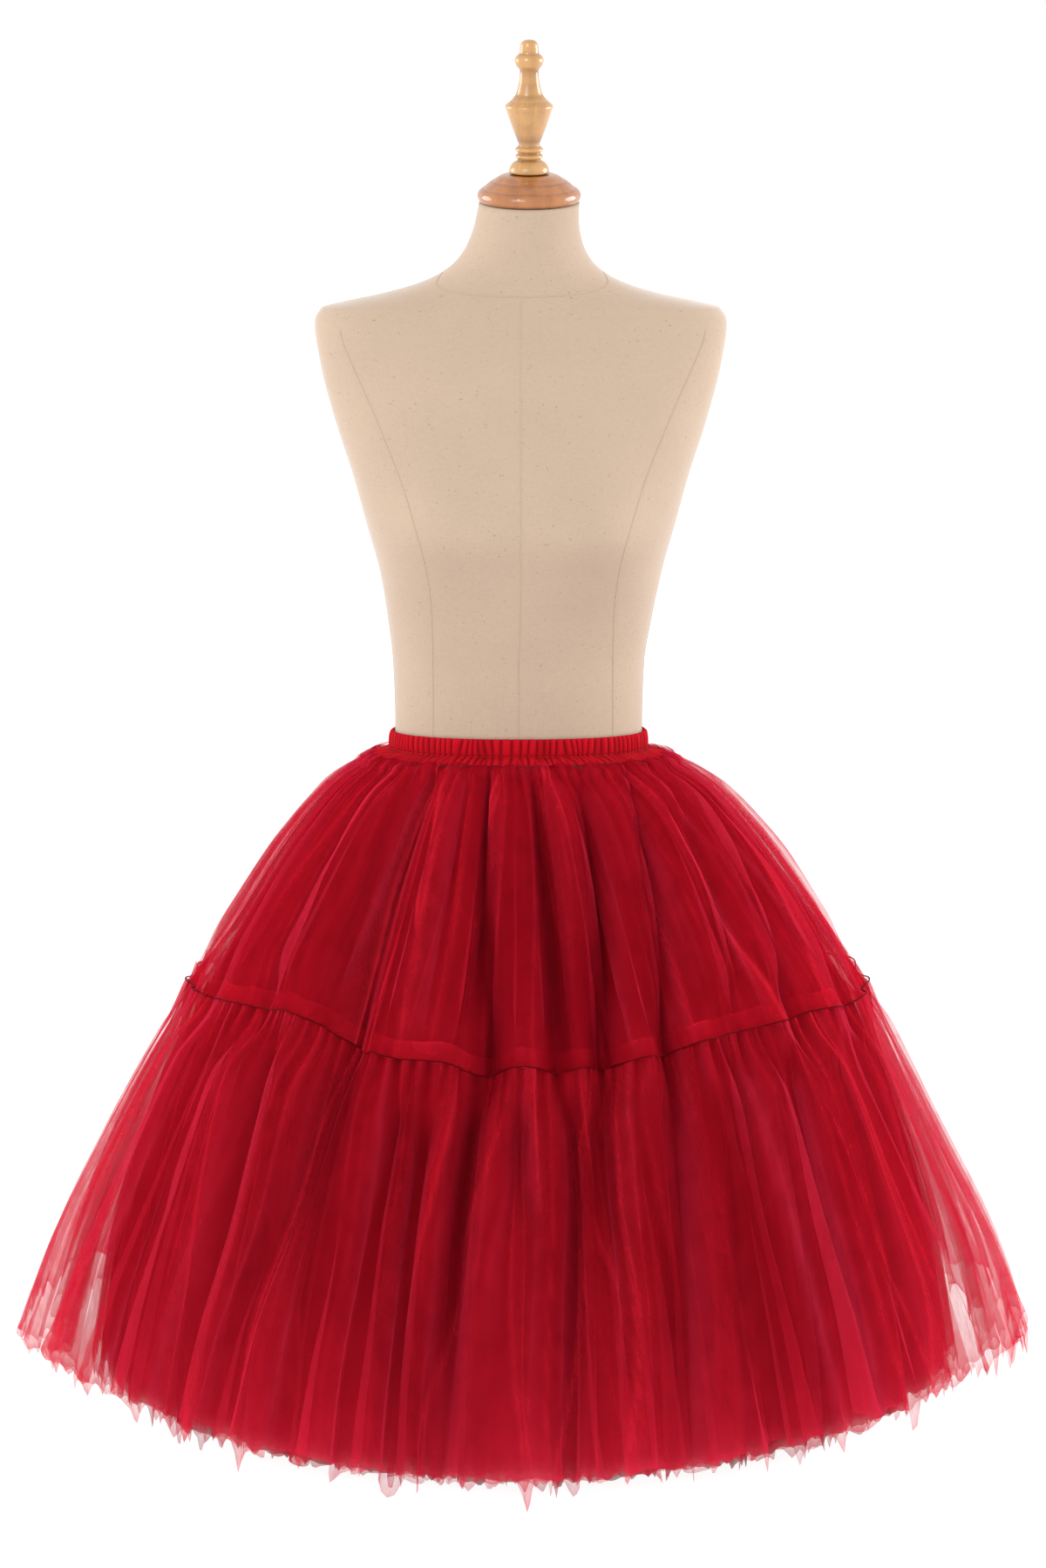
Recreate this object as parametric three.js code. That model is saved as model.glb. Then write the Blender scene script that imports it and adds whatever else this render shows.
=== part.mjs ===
// A two-tier gathered tulle skirt with an elastic waistband, worn by a limbless dress form on a short round stand.
// Millimetres, +Z up, front towards -Y. The origin is the centre of the stand's underside, on the floor.
import * as THREE from "three";

// Driving dimensions
const SEAM_GAP = 0.3; // between pieces that are sewn or set against each other
const CLOTH = 1.5; // thickness of a tulle wall, which stands for its stacked layers

const STAND = { radius: 170, thickness: 8, bossRadius: 30, bossHeight: 40 };
const POLE_RADIUS = 14;
const PLATE = { radius: 72, thickness: 11, collarRadius: 23, collarDepth: 30 };
const SOCKET_RADIUS = POLE_RADIUS + SEAM_GAP;

const TORSO_BOTTOM = 385;
const NECK_TOP = 1083;
const NECK_LEAN = 7; // degrees that the neck's top tips forward
const NECK_FORWARD = 8; // how far the neck's centre stands in front of the middle
const NECK_ASIDE = 5.5; // and how far to its right

const BAND = { top: 604, bottom: 588, clearance: 0.5, wall: 4.6, gather: 1.2, gathers: 100 };
const BAND_TILT = 5; // the waistband's front is this much higher than its sides
const YOKE = { drop: 4.5, flare: 16, wall: 1.5, fromForm: 4 };

const UPPER_FOLDS = 28;
const LOWER_FOLDS = 36;
const UPPER_SEED = 1.2; // sets where the upper tier's folds are deep and where they are shallow
const LOWER_SEED = 0;
const INNER_WAVES = 14;
const PANEL_COLUMNS = (LOWER_FOLDS * 5) / 2; // five to each fold of the lower tier
const INNER_COLUMNS = (INNER_WAVES * 4) / 2;
const JOINED_SHARE = 0.2; // how far down a piece of tulle is shaped by the edge it hangs from
const FOLD_RISE = 0.45; // a crest rides up by this share of its depth, and a trough hangs down
const FRONT_SAG = { seam: 9, hem: 6 }; // the front and back hang lower than the sides
const QUARTER_LIFT = 20; // the hem is higher between its sides and its front and back
const SEAM_ALLOWANCE = { height: 13, wall: 1 };

// The dress form's level sections, from its underside to its neck.
// boxiness is the power of a superellipse, and centre is the section's place from front (minus) to back.
const TORSO_SECTIONS = [
  { height: TORSO_BOTTOM, halfWidth: 158, halfDepth: 108, aside: 0, centre: 8, boxiness: 2.2 },
  { height: 396, halfWidth: 165, halfDepth: 115, aside: 0, centre: 8, boxiness: 2.2 },
  { height: 440, halfWidth: 163, halfDepth: 114, aside: 0, centre: 8, boxiness: 2.2 },
  { height: 500, halfWidth: 146, halfDepth: 107, aside: -2, centre: 4, boxiness: 2.2 },
  { height: 550, halfWidth: 124, halfDepth: 97, aside: -3, centre: 0, boxiness: 2.2 },
  { height: 586, halfWidth: 114, halfDepth: 90, aside: -4, centre: 0, boxiness: 2.2 },
  { height: 612, halfWidth: 112.5, halfDepth: 89, aside: -4, centre: 0, boxiness: 2.2 },
  { height: 664, halfWidth: 114, halfDepth: 91, aside: -4, centre: -1, boxiness: 2.2 },
  { height: 707, halfWidth: 119.5, halfDepth: 96, aside: -3, centre: -5, boxiness: 2.2 },
  { height: 751, halfWidth: 127.5, halfDepth: 105, aside: -2, centre: -10, boxiness: 2.3 },
  { height: 794, halfWidth: 139, halfDepth: 114, aside: -2, centre: -13, boxiness: 2.4 },
  { height: 841, halfWidth: 152, halfDepth: 112, aside: -2, centre: -9, boxiness: 2.5 },
  { height: 890, halfWidth: 168, halfDepth: 103, aside: -2, centre: -3, boxiness: 2.6 },
  { height: 940, halfWidth: 181, halfDepth: 88, aside: -2, centre: 4, boxiness: 2.8 },
  { height: 976, halfWidth: 186, halfDepth: 72, aside: -2, centre: 8, boxiness: 2.9 },
  { height: 988, halfWidth: 180, halfDepth: 66, aside: -2, centre: 9, boxiness: 2.7 },
  { height: 994, halfWidth: 158, halfDepth: 63, aside: -2, centre: 9, boxiness: 2.5 },
  { height: 1001, halfWidth: 125, halfDepth: 60, aside: -2, centre: 9, boxiness: 2.3 },
  { height: 1009, halfWidth: 97, halfDepth: 57, aside: -1, centre: 8, boxiness: 2.2 },
  { height: 1018, halfWidth: 77, halfDepth: 55, aside: 0, centre: 6, boxiness: 2.1 },
  { height: 1031, halfWidth: 61, halfDepth: 52, aside: 1, centre: 3, boxiness: 2 },
  { height: 1046, halfWidth: 52, halfDepth: 49, aside: 2, centre: -1, boxiness: 2 },
  { height: 1064, halfWidth: 47, halfDepth: 46.5, aside: 3.5, centre: -5, boxiness: 2 },
  { height: NECK_TOP, halfWidth: 45, halfDepth: 45, aside: NECK_ASIDE, centre: -NECK_FORWARD, boxiness: 2 },
];
const LEAN_START = 1009; // the sections tip forward from this height up

// Turned wood, as radius and height above the piece's own foot
const CAP_PROFILE = [
  [43, 0], [46, 2.5], [46.8, 6.5], [45.5, 10], [42, 13], [40.5, 13.6],
  [37.5, 16.5], [33.5, 19.5], [31.5, 20.4], [27, 23.5], [21.5, 25.5],
];
const FINIAL_PROFILE = [
  [18.5, 0], [17.8, 5], [15.5, 9], [12.5, 11.2], [9.4, 12], [12.4, 14.4], [12.4, 16.4],
  [9.4, 18.4], [12.6, 20.4], [12.6, 22.4], [9.4, 25], [10, 27.5], [15.3, 41], [19.5, 53],
  [20.6, 56.5], [22, 60.5], [17, 64.5], [12, 70], [9.2, 81], [8.2, 92], [11.8, 95.5],
  [13.3, 100.5], [12, 104], [8.4, 106.6], [8.2, 113], [6.6, 117], [3.4, 118.6],
];

// The tulle's hanging shape, one row for each level. fold is the depth of its folds from their mean.
const UPPER_OUTER = [
  { height: 582, halfWidth: 134, halfDepth: 110, aside: -4, fold: 0, boxiness: 2.2 },
  { height: 562, halfWidth: 170, halfDepth: 149, aside: -1, fold: 3.5, boxiness: 2.1 },
  { height: 508, halfWidth: 222, halfDepth: 205, aside: 1, fold: 6.5, boxiness: 2 },
  { height: 440, halfWidth: 268, halfDepth: 251, aside: 3, fold: 8, boxiness: 2 },
  { height: 368, halfWidth: 311, halfDepth: 294, aside: 4, fold: 9, boxiness: 2 },
];
const LOWER_OUTER = [
  { height: 368, halfWidth: 311, halfDepth: 294, aside: 4, fold: 9, boxiness: 2 },
  { height: 296, halfWidth: 350, halfDepth: 330, aside: 2, fold: 12, boxiness: 2 },
  { height: 215, halfWidth: 392, halfDepth: 369, aside: 0, fold: 15, boxiness: 1.95 },
  { height: 125, halfWidth: 436, halfDepth: 410, aside: 0, fold: 17, boxiness: 1.9 },
  { height: 40, halfWidth: 463, halfDepth: 434, aside: 0, fold: 18, boxiness: 1.85 },
];
const UPPER_INNER = [
  { height: 579, halfWidth: 132, halfDepth: 108, aside: -4, fold: 0, boxiness: 2.2 },
  { height: 549, halfWidth: 170, halfDepth: 150, aside: -1, fold: 1.5, boxiness: 2.1 },
  { height: 462, halfWidth: 235, halfDepth: 218, aside: 2, fold: 3, boxiness: 2 },
  { height: 364, halfWidth: 292, halfDepth: 276, aside: 4, fold: 4, boxiness: 2 },
];
const LOWER_INNER = [
  { height: 364, halfWidth: 292, halfDepth: 276, aside: 4, fold: 4, boxiness: 2 },
  { height: 270, halfWidth: 342, halfDepth: 322, aside: 1, fold: 6, boxiness: 1.95 },
  { height: 150, halfWidth: 395, halfDepth: 372, aside: 0, fold: 7, boxiness: 1.9 },
  { height: 31, halfWidth: 422, halfDepth: 397, aside: 0, fold: 7, boxiness: 1.85 },
];

const TURN = 2 * Math.PI;
const RADIAN = Math.PI / 180;

const FINISHES = {
  linen: { color: 0xd3c1ab, roughness: 0.9, metalness: 0 },
  paleWood: { color: 0xcf9a5a, roughness: 0.3, metalness: 0 },
  darkWood: { color: 0xb8722f, roughness: 0.3, metalness: 0 },
  steel: { color: 0xc9c9c6, roughness: 0.35, metalness: 0.9 },
  tulle: { color: 0xa8121f, roughness: 0.85, metalness: 0 },
  bandCloth: { color: 0xb3101a, roughness: 0.8, metalness: 0 },
};

function piece(name, geometry, finish) {
  const mesh = new THREE.Mesh(geometry, new THREE.MeshStandardMaterial(FINISHES[finish]));
  mesh.name = name;
  return mesh;
}

// A value between two rows of a table, where place runs from 0 at the first row to 1 at the last
function readRows(rows, place) {
  const along = THREE.MathUtils.clamp(place, 0, 1) * (rows.length - 1);
  const index = Math.min(Math.floor(along), rows.length - 2);
  const read = {};
  for (const key of Object.keys(rows[index])) {
    read[key] = THREE.MathUtils.lerp(rows[index][key], rows[index + 1][key], along - index);
  }
  return read;
}

function torsoAt(height) {
  const index = TORSO_SECTIONS.findIndex((row) => row.height >= height);
  const [below, above] = [TORSO_SECTIONS[index - 1], TORSO_SECTIONS[index]];
  return readRows([below, above], (height - below.height) / (above.height - below.height));
}

// A point on a level section. turn runs from 0 at the left side (-X) by the front to 1.
function onSection(section, turn) {
  const angle = TURN * turn - Math.PI / 2;
  const [across, deep] = [Math.sin(angle), -Math.cos(angle)];
  const power = section.boxiness ?? 2;
  const stretch = (Math.abs(across) ** power + Math.abs(deep) ** power) ** (-1 / power);
  return new THREE.Vector3(
    section.halfWidth * across * stretch + (section.aside ?? 0),
    section.halfDepth * deep * stretch + (section.centre ?? 0),
    section.height,
  );
}

// A point beside the dress form, out from its level section
function offTorso(turn, height, out) {
  const section = torsoAt(height);
  section.halfWidth += out;
  section.halfDepth += out;
  return onSection(section, turn);
}

// A solid from rings of points, each ring the same length: sides between the rings, and a flat fan on each end
function loft(rings) {
  const count = rings[0].length;
  const points = rings.flat();
  const faces = [];
  for (let ring = 0; ring < rings.length - 1; ring++) {
    for (let i = 0; i < count; i++) {
      const [a, b] = [ring * count + i, ring * count + ((i + 1) % count)];
      faces.push(a, b, b + count, a, b + count, a + count);
    }
  }
  const last = (rings.length - 1) * count;
  for (let i = 1; i < count - 1; i++) {
    faces.push(0, i + 1, i);
    faces.push(last, last + i, last + i + 1);
  }
  return new THREE.BufferGeometry().setFromPoints(points).setIndex(faces);
}

// A thin wall on a surface. surface(turn, drop) is its middle, with turn from 0 to 1 all round and drop from 0 at its
// top edge to 1 at its lower edge. Turns from start to end make a whole ring or one panel of it.
function wall(surface, { start = 0, end = 1, columns, rows, thickness }) {
  const isRing = end - start === 1;
  const count = isRing ? columns : columns + 1;
  const step = 1e-3;
  const skins = [[], []];
  for (let row = 0; row <= rows; row++) {
    for (let column = 0; column < count; column++) {
      const turn = start + ((end - start) * column) / columns;
      const drop = row / rows;
      const middle = surface(turn, drop);
      const along = surface(turn + step, drop).sub(surface(turn - step, drop));
      const down = surface(turn, Math.min(drop + step, 1)).sub(surface(turn, Math.max(drop - step, 0)));
      const outward = down.cross(along).normalize();
      if (!isRing && column === 0) middle.addScaledVector(along.normalize(), SEAM_GAP / 2);
      if (!isRing && column === columns) middle.addScaledVector(along.normalize(), -SEAM_GAP / 2);
      skins[0].push(middle.clone().addScaledVector(outward, thickness / 2));
      skins[1].push(middle.clone().addScaledVector(outward, -thickness / 2));
    }
  }
  const inner = skins[0].length;
  const faces = [];
  const quad = (a, b, c, d) => faces.push(a, b, c, a, c, d);
  const bottom = rows * count;
  for (let column = 0; column < columns; column++) {
    const next = (column + 1) % count;
    for (let row = 0; row < rows; row++) {
      const [here, below] = [row * count, (row + 1) * count];
      quad(here + column, below + column, below + next, here + next);
      quad(inner + here + column, inner + here + next, inner + below + next, inner + below + column);
    }
    quad(column, next, inner + next, inner + column);
    quad(bottom + next, bottom + column, inner + bottom + column, inner + bottom + next);
  }
  if (!isRing) {
    for (let row = 0; row < rows; row++) {
      const [here, below] = [row * count, (row + 1) * count];
      quad(here, inner + here, inner + below, below);
      quad(here + columns, below + columns, inner + below + columns, inner + here + columns);
    }
  }
  return new THREE.BufferGeometry().setFromPoints([...skins[0], ...skins[1]]).setIndex(faces);
}

// How far in front a turn lies: 1 at the front, 0 at the sides, -1 at the back
const frontness = (turn) => Math.sin(TURN * turn);

// Folds lie unevenly: each turn is shifted by a part of a fold's width.
const uneven = (turn) =>
  turn + 0.0046 * Math.sin(TURN * 7 * turn + 0.6) + 0.0024 * Math.sin(TURN * 12 * turn + 2.1);
const depthShare = (turn, seed) =>
  0.78 + 0.2 * Math.sin(TURN * 5 * turn + seed) + 0.12 * Math.sin(TURN * 11 * turn + 2 * seed);
const foldWave = (turn, folds, seed) => depthShare(turn, seed) * Math.cos(TURN * folds * turn + seed);

// A tulle surface from its rows. wave(turn, drop) is its folds, from -1 in a trough to 1 on a crest.
function tulleSurface(rows, wave, { tilt, sagTop, sagBottom, quarterLift = 0 }) {
  return (turn, drop) => {
    const section = readRows(rows, drop);
    const offset = section.fold * wave(turn, drop);
    const point = onSection(section, uneven(turn));
    const flat = new THREE.Vector2(point.x, point.y);
    flat.setLength(flat.length() + offset);
    const front = frontness(uneven(turn));
    const sag = THREE.MathUtils.lerp(sagTop, sagBottom, drop) * front * front;
    const quarter = 4 * Math.abs(front) * (1 - Math.abs(front));
    const lift = tilt * (1 - drop) * front + FOLD_RISE * drop * offset + quarterLift * drop ** 2 * quarter - sag;
    return new THREE.Vector3(flat.x, flat.y, section.height + lift);
  };
}

const upperWave = (turn) => foldWave(turn, UPPER_FOLDS, UPPER_SEED);
const lowerWave = (turn, drop) => {
  const own = THREE.MathUtils.smoothstep(drop, 0, 0.5);
  return (1 - own) * upperWave(turn) + own * foldWave(turn, LOWER_FOLDS, LOWER_SEED);
};
const innerWave = (turn) => Math.cos(TURN * INNER_WAVES * turn);

// The gathered strip under the waistband, which the tulle is sewn to
function yokeSurface(turn, drop) {
  const height = BAND.bottom - YOKE.wall / 2 - SEAM_GAP + BAND_TILT * frontness(uneven(turn));
  const point = offTorso(uneven(turn), height, YOKE.fromForm + YOKE.flare * drop);
  point.z -= YOKE.drop * drop;
  return point;
}

// The lower edge of a piece of cloth: a point beyond it along the cloth, and inside it
function beyondEdge(surface, turn, { gap, inside = 0 }) {
  const step = 0.01;
  const edge = surface(turn, 1);
  const down = edge.clone().sub(surface(turn, 1 - step)).normalize();
  const along = surface(turn + step, 1).sub(surface(turn - step, 1));
  const outward = down.clone().cross(along).normalize();
  return edge.addScaledVector(down, gap).addScaledVector(outward, -inside);
}

// Cloth that starts at an edge above and takes its own shape further down
function hangFrom(edge, own) {
  return (turn, drop) => {
    const free = THREE.MathUtils.smoothstep(drop, 0, JOINED_SHARE);
    const shift = edge(turn).sub(own(turn, 0));
    return own(turn, drop).addScaledVector(shift, 1 - free);
  };
}

const upperSag = { tilt: BAND_TILT, sagTop: 0, sagBottom: FRONT_SAG.seam };
const lowerSag = { tilt: 0, sagTop: FRONT_SAG.seam, sagBottom: FRONT_SAG.hem, quarterLift: QUARTER_LIFT };
const innerSag = { ...lowerSag, quarterLift: 0 };
const upperOuter = hangFrom(
  (turn) => beyondEdge(yokeSurface, turn, { gap: SEAM_GAP }),
  tulleSurface(UPPER_OUTER, upperWave, upperSag),
);
const upperInner = hangFrom(
  (turn) => beyondEdge(yokeSurface, turn, { gap: SEAM_GAP, inside: CLOTH + SEAM_GAP }),
  tulleSurface(UPPER_INNER, innerWave, upperSag),
);
const lowerOuter = hangFrom(
  (turn) => beyondEdge(upperOuter, turn, { gap: SEAM_GAP }),
  tulleSurface(LOWER_OUTER, lowerWave, lowerSag),
);
const lowerInner = hangFrom(
  (turn) => beyondEdge(upperInner, turn, { gap: SEAM_GAP }),
  tulleSurface(LOWER_INNER, innerWave, innerSag),
);

// Front and back panels of a tier, joined at the sides
function tierPanels(name, surface, columns, rows) {
  return [["front", 0], ["back", 0.5]].map(([side, start]) =>
    piece(
      `${name}_${side}`,
      wall(surface, { start, end: start + 0.5, columns, rows, thickness: CLOTH }),
      "tulle",
    ),
  );
}

// The seam allowance is turned up inside the upper tier and lies along its lower edge.
function seamAllowance() {
  const [above, edge] = UPPER_OUTER.slice(-2);
  const slant = Math.hypot(above.height - edge.height, edge.halfWidth - above.halfWidth);
  const share = SEAM_ALLOWANCE.height / slant / (UPPER_OUTER.length - 1);
  const inset = CLOTH / 2 + SEAM_GAP + SEAM_ALLOWANCE.wall / 2;
  const surface = (turn, drop) => {
    const place = 1 - share * (1 - drop);
    const point = upperOuter(turn, place);
    const step = 1e-3;
    const along = upperOuter(turn + step, place).sub(upperOuter(turn - step, place));
    const down = upperOuter(turn, 1).sub(upperOuter(turn, 0.98));
    return point.addScaledVector(down.cross(along).normalize(), -inset);
  };
  const columns = 2 * PANEL_COLUMNS;
  return piece("tier_seam_allowance", wall(surface, { columns, rows: 1, thickness: SEAM_ALLOWANCE.wall }), "tulle");
}

// The elastic waistband: a gathered casing round the form's waist
function waistband() {
  const rings = [];
  const count = BAND.gathers * 2;
  const levels = [
    { height: BAND.bottom, out: 0 }, { height: BAND.bottom, out: 0.8 },
    { height: 0.5 * (BAND.bottom + BAND.top), out: 1 },
    { height: BAND.top, out: 0.8 }, { height: BAND.top, out: 0 },
  ];
  for (const level of levels) {
    const ring = [];
    for (let i = 0; i < count; i++) {
      const turn = i / count;
      const wave = Math.cos(TURN * BAND.gathers * turn) * depthShare(turn, 2);
      const ruffle = level.out ? BAND.gather * wave + (level.out - 1) * BAND.wall * 0.5 : 0;
      const out = BAND.clearance + (level.out ? BAND.wall + ruffle : 0);
      ring.push(offTorso(turn, level.height + BAND_TILT * frontness(turn), out));
    }
    rings.push(ring);
  }
  return piece("waistband", tube(rings), "bandCloth");
}

// A ring-shaped solid from rings of points that go once round its section, starting and ending on its inner face
function tube(rings) {
  const count = rings[0].length;
  const faces = [];
  rings.forEach((_, ring) => {
    const [here, next] = [ring * count, ((ring + 1) % rings.length) * count];
    for (let i = 0; i < count; i++) {
      const j = (i + 1) % count;
      faces.push(here + i, here + j, next + j, here + i, next + j, next + i);
    }
  });
  return new THREE.BufferGeometry().setFromPoints(rings.flat()).setIndex(faces);
}

function yoke() {
  const shape = { columns: PANEL_COLUMNS, rows: 1, thickness: YOKE.wall };
  return piece("yoke", wall(yokeSurface, shape), "bandCloth");
}

function torso() {
  const segments = 36;
  const rings = TORSO_SECTIONS.map((section) => {
    const rise = THREE.MathUtils.smoothstep(section.height, LEAN_START, NECK_TOP);
    const slope = Math.tan(NECK_LEAN * RADIAN) * rise;
    return Array.from({ length: segments }, (_, i) => {
      const point = onSection(section, i / segments);
      point.z += slope * (point.y - section.centre);
      return point;
    });
  });
  return piece("torso", loft(rings), "linen");
}

// A turned piece from its profile, standing on its foot
function turned(name, profile, segments, finish) {
  const [first, last] = [profile[0], profile.at(-1)];
  const points = [[0, first[1]], ...profile, [0, last[1]]].map(([radius, height]) => new THREE.Vector2(radius, height));
  const geometry = new THREE.LatheGeometry(points, segments).rotateX(Math.PI / 2);
  return piece(name, geometry, finish);
}

// The turned neck cap and finial lean with the neck.
function neckPieces() {
  const lean = new THREE.Group();
  lean.position.set(NECK_ASIDE, -NECK_FORWARD, NECK_TOP + SEAM_GAP);
  lean.rotation.x = NECK_LEAN * RADIAN;
  const cap = turned("neck_cap", CAP_PROFILE, 30, "darkWood");
  const finial = turned("finial", FINIAL_PROFILE, 18, "paleWood");
  finial.position.z = CAP_PROFILE.at(-1)[1] + SEAM_GAP;
  lean.add(cap, finial);
  return lean;
}

function stand() {
  const group = new THREE.Group();
  const { radius, thickness, bossRadius, bossHeight } = STAND;
  const base = turned("stand_base", [
    [radius - 2, 0], [radius, 2], [radius, thickness - 5], [radius - 8, thickness], [bossRadius + 6, thickness],
    [bossRadius, thickness + 6], [bossRadius - 6, bossHeight], [SOCKET_RADIUS, bossHeight], [SOCKET_RADIUS, thickness],
  ], 40, "steel");
  const plateTop = TORSO_BOTTOM - SEAM_GAP;
  const plateFoot = plateTop - PLATE.thickness;
  const collarFoot = plateFoot - PLATE.collarDepth;
  const plate = turned("torso_plate", [
    [SOCKET_RADIUS, plateFoot], [SOCKET_RADIUS, collarFoot], [PLATE.collarRadius, collarFoot],
    [PLATE.collarRadius + 2, plateFoot - 4], [PLATE.collarRadius + 8, plateFoot],
    [PLATE.radius - 3, plateFoot], [PLATE.radius, plateFoot + 3], [PLATE.radius, plateTop],
  ], 32, "darkWood");
  const [poleFoot, poleTop] = [thickness + SEAM_GAP, plateFoot - SEAM_GAP];
  const pole = turned("pole", [[POLE_RADIUS, poleFoot], [POLE_RADIUS, poleTop]], 24, "steel");
  group.add(base, plate, pole);
  return group;
}

const dressed = new THREE.Group();
dressed.add(stand(), torso(), neckPieces(), waistband(), yoke(), seamAllowance());
dressed.add(...tierPanels("upper_tier_outer", upperOuter, PANEL_COLUMNS, UPPER_OUTER.length - 1));
dressed.add(...tierPanels("upper_tier_inner", upperInner, INNER_COLUMNS, UPPER_INNER.length - 1));
dressed.add(...tierPanels("lower_tier_outer", lowerOuter, PANEL_COLUMNS, LOWER_OUTER.length - 1));
dressed.add(...tierPanels("lower_tier_inner", lowerInner, INNER_COLUMNS, LOWER_INNER.length - 1));

export default dressed;
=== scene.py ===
"""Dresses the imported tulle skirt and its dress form: net, gathers, stitching, linen, wood, steel, light and camera."""
import math

import bpy
import numpy as np
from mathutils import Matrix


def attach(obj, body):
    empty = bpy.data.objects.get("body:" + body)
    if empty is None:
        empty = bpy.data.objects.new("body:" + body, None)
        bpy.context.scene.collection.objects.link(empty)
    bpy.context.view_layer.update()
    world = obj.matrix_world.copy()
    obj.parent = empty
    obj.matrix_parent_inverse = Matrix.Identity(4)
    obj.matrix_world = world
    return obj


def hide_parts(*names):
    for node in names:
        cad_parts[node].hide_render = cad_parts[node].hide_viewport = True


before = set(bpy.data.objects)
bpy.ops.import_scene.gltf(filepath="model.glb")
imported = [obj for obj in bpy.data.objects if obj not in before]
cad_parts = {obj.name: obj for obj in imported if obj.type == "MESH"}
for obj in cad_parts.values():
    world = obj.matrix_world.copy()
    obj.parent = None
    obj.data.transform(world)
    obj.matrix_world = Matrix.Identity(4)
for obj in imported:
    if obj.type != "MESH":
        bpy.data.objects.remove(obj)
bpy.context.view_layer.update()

bl_info = {
    "name": "Tulle Skirt",
    "version": (1, 0, 0),
    "blender": (4, 5, 0),
    "location": "3D View > Sidebar > Tulle Skirt",
    "description": "Builds a gathered two-tier tulle skirt on a dress form",
    "category": "Add Mesh",
}

TURN = 2 * math.pi
MM = 0.001

# The dress form's level sections in millimetres:
# height, half width, half depth, aside, centre from front to back, and the power of its superellipse
TORSO_SECTIONS = [
    (385, 158, 108, 0, 8, 2.2), (396, 165, 115, 0, 8, 2.2), (440, 163, 114, 0, 8, 2.2),
    (500, 146, 107, -2, 4, 2.2), (550, 124, 97, -3, 0, 2.2), (586, 114, 90, -4, 0, 2.2),
    (612, 112.5, 89, -4, 0, 2.2), (664, 114, 91, -4, -1, 2.2), (707, 119.5, 96, -3, -5, 2.2),
    (751, 127.5, 105, -2, -10, 2.3), (794, 139, 114, -2, -13, 2.4), (841, 152, 112, -2, -9, 2.5),
    (890, 168, 103, -2, -3, 2.6), (940, 181, 88, -2, 4, 2.8), (976, 186, 72, -2, 8, 2.9),
    (988, 180, 66, -2, 9, 2.7), (994, 158, 63, -2, 9, 2.5), (1001, 125, 60, -2, 9, 2.3),
    (1009, 97, 57, -1, 8, 2.2), (1018, 77, 55, 0, 6, 2.1), (1031, 61, 52, 1, 3, 2.0),
    (1046, 52, 49, 2, -1, 2.0), (1064, 47, 46.5, 3.5, -5, 2.0), (1083, 45, 45, 5.5, -8, 2.0),
]
LEAN_START, NECK_TOP, NECK_LEAN = 1009, 1083, math.radians(7)
BUST = {"across": 62, "height": 800, "spread": 42, "rise": 10}

# Turned wood, as radius and height above the piece's own foot
CAP_PROFILE = [
    (0, 0), (43, 0), (46, 2.5), (46.8, 6.5), (45.5, 10), (42, 13), (40.5, 13.6),
    (37.5, 16.5), (33.5, 19.5), (31.5, 20.4), (27, 23.5), (21.5, 25.5), (0, 25.5),
]
FINIAL_PROFILE = [
    (0, 0), (18.5, 0), (17.8, 5), (15.5, 9), (12.5, 11.2), (9.4, 12), (12.4, 14.4), (12.4, 16.4),
    (9.4, 18.4), (12.6, 20.4), (12.6, 22.4), (9.4, 25), (10, 27.5), (15.3, 41), (19.5, 53),
    (20.6, 56.5), (22, 60.5), (17, 64.5), (12, 70), (9.2, 81), (8.2, 92), (11.8, 95.5),
    (13.3, 100.5), (12, 104), (8.4, 106.6), (8.2, 113), (6.6, 117), (3.4, 118.6), (0, 118.6),
]
FINIAL_FOOT = 25.8

# The tulle's hanging shape, from the top edge of a tier to its lower edge: height, half width, half depth, aside, power
UPPER_DENSE = [(579, 132, 108, -4, 2.2), (549, 170, 150, -1, 2.1), (462, 235, 218, 2, 2), (364, 292, 276, 4, 2)]
UPPER_SHEER = [
    (582, 134, 110, -4, 2.2), (562, 170, 149, -1, 2.1), (508, 222, 205, 1, 2), (440, 268, 251, 3, 2),
    (368, 311, 294, 4, 2),
]
LOWER_DENSE = [(364, 292, 276, 4, 2), (270, 335, 316, 1, 1.95), (143, 373, 353, 0, 1.9), (19, 392, 371, 0, 1.9)]
LOWER_SHEER = [
    (368, 311, 294, 4, 2), (296, 350, 330, 2, 2), (215, 392, 369, 0, 1.95), (125, 436, 410, 0, 1.9),
    (40, 467, 437, 0, 1.85),
]
BAND_TILT = 5
SEAM_SAG, HEM_SAG, QUARTER_LIFT = 9, 6, 20

# How much of a net's threads glows with the light behind it, and in which colour
GLOW_SHARE = 0.42
GLOW_COLOUR = (0.92, 0.055, 0.14)

# How finely the nets are made, and how near the floor their tips may come
UPPER_COLUMNS, LOWER_COLUMNS = 1000, 1400
UPPER_ROWS, LOWER_ROWS = 40, 44
LOWEST_TIP = 2
HEM_POINTS = 300
RUCHES = 112
BAND_COLUMNS = 12 * RUCHES

# The tier seam steps up and down from fold to fold: turn from the left side by the front to the right, and lift
SEAM_LIFTS = [
    (0, 2), (0.05, 10), (0.08, 17), (0.125, 27), (0.145, 22), (0.168, 6), (0.19, -2), (0.215, -1), (0.227, -11),
    (0.24, -3), (0.262, -7), (0.282, -3), (0.31, 1), (0.318, 6), (0.35, 14), (0.385, 13), (0.403, 15), (0.435, 2),
]

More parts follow.
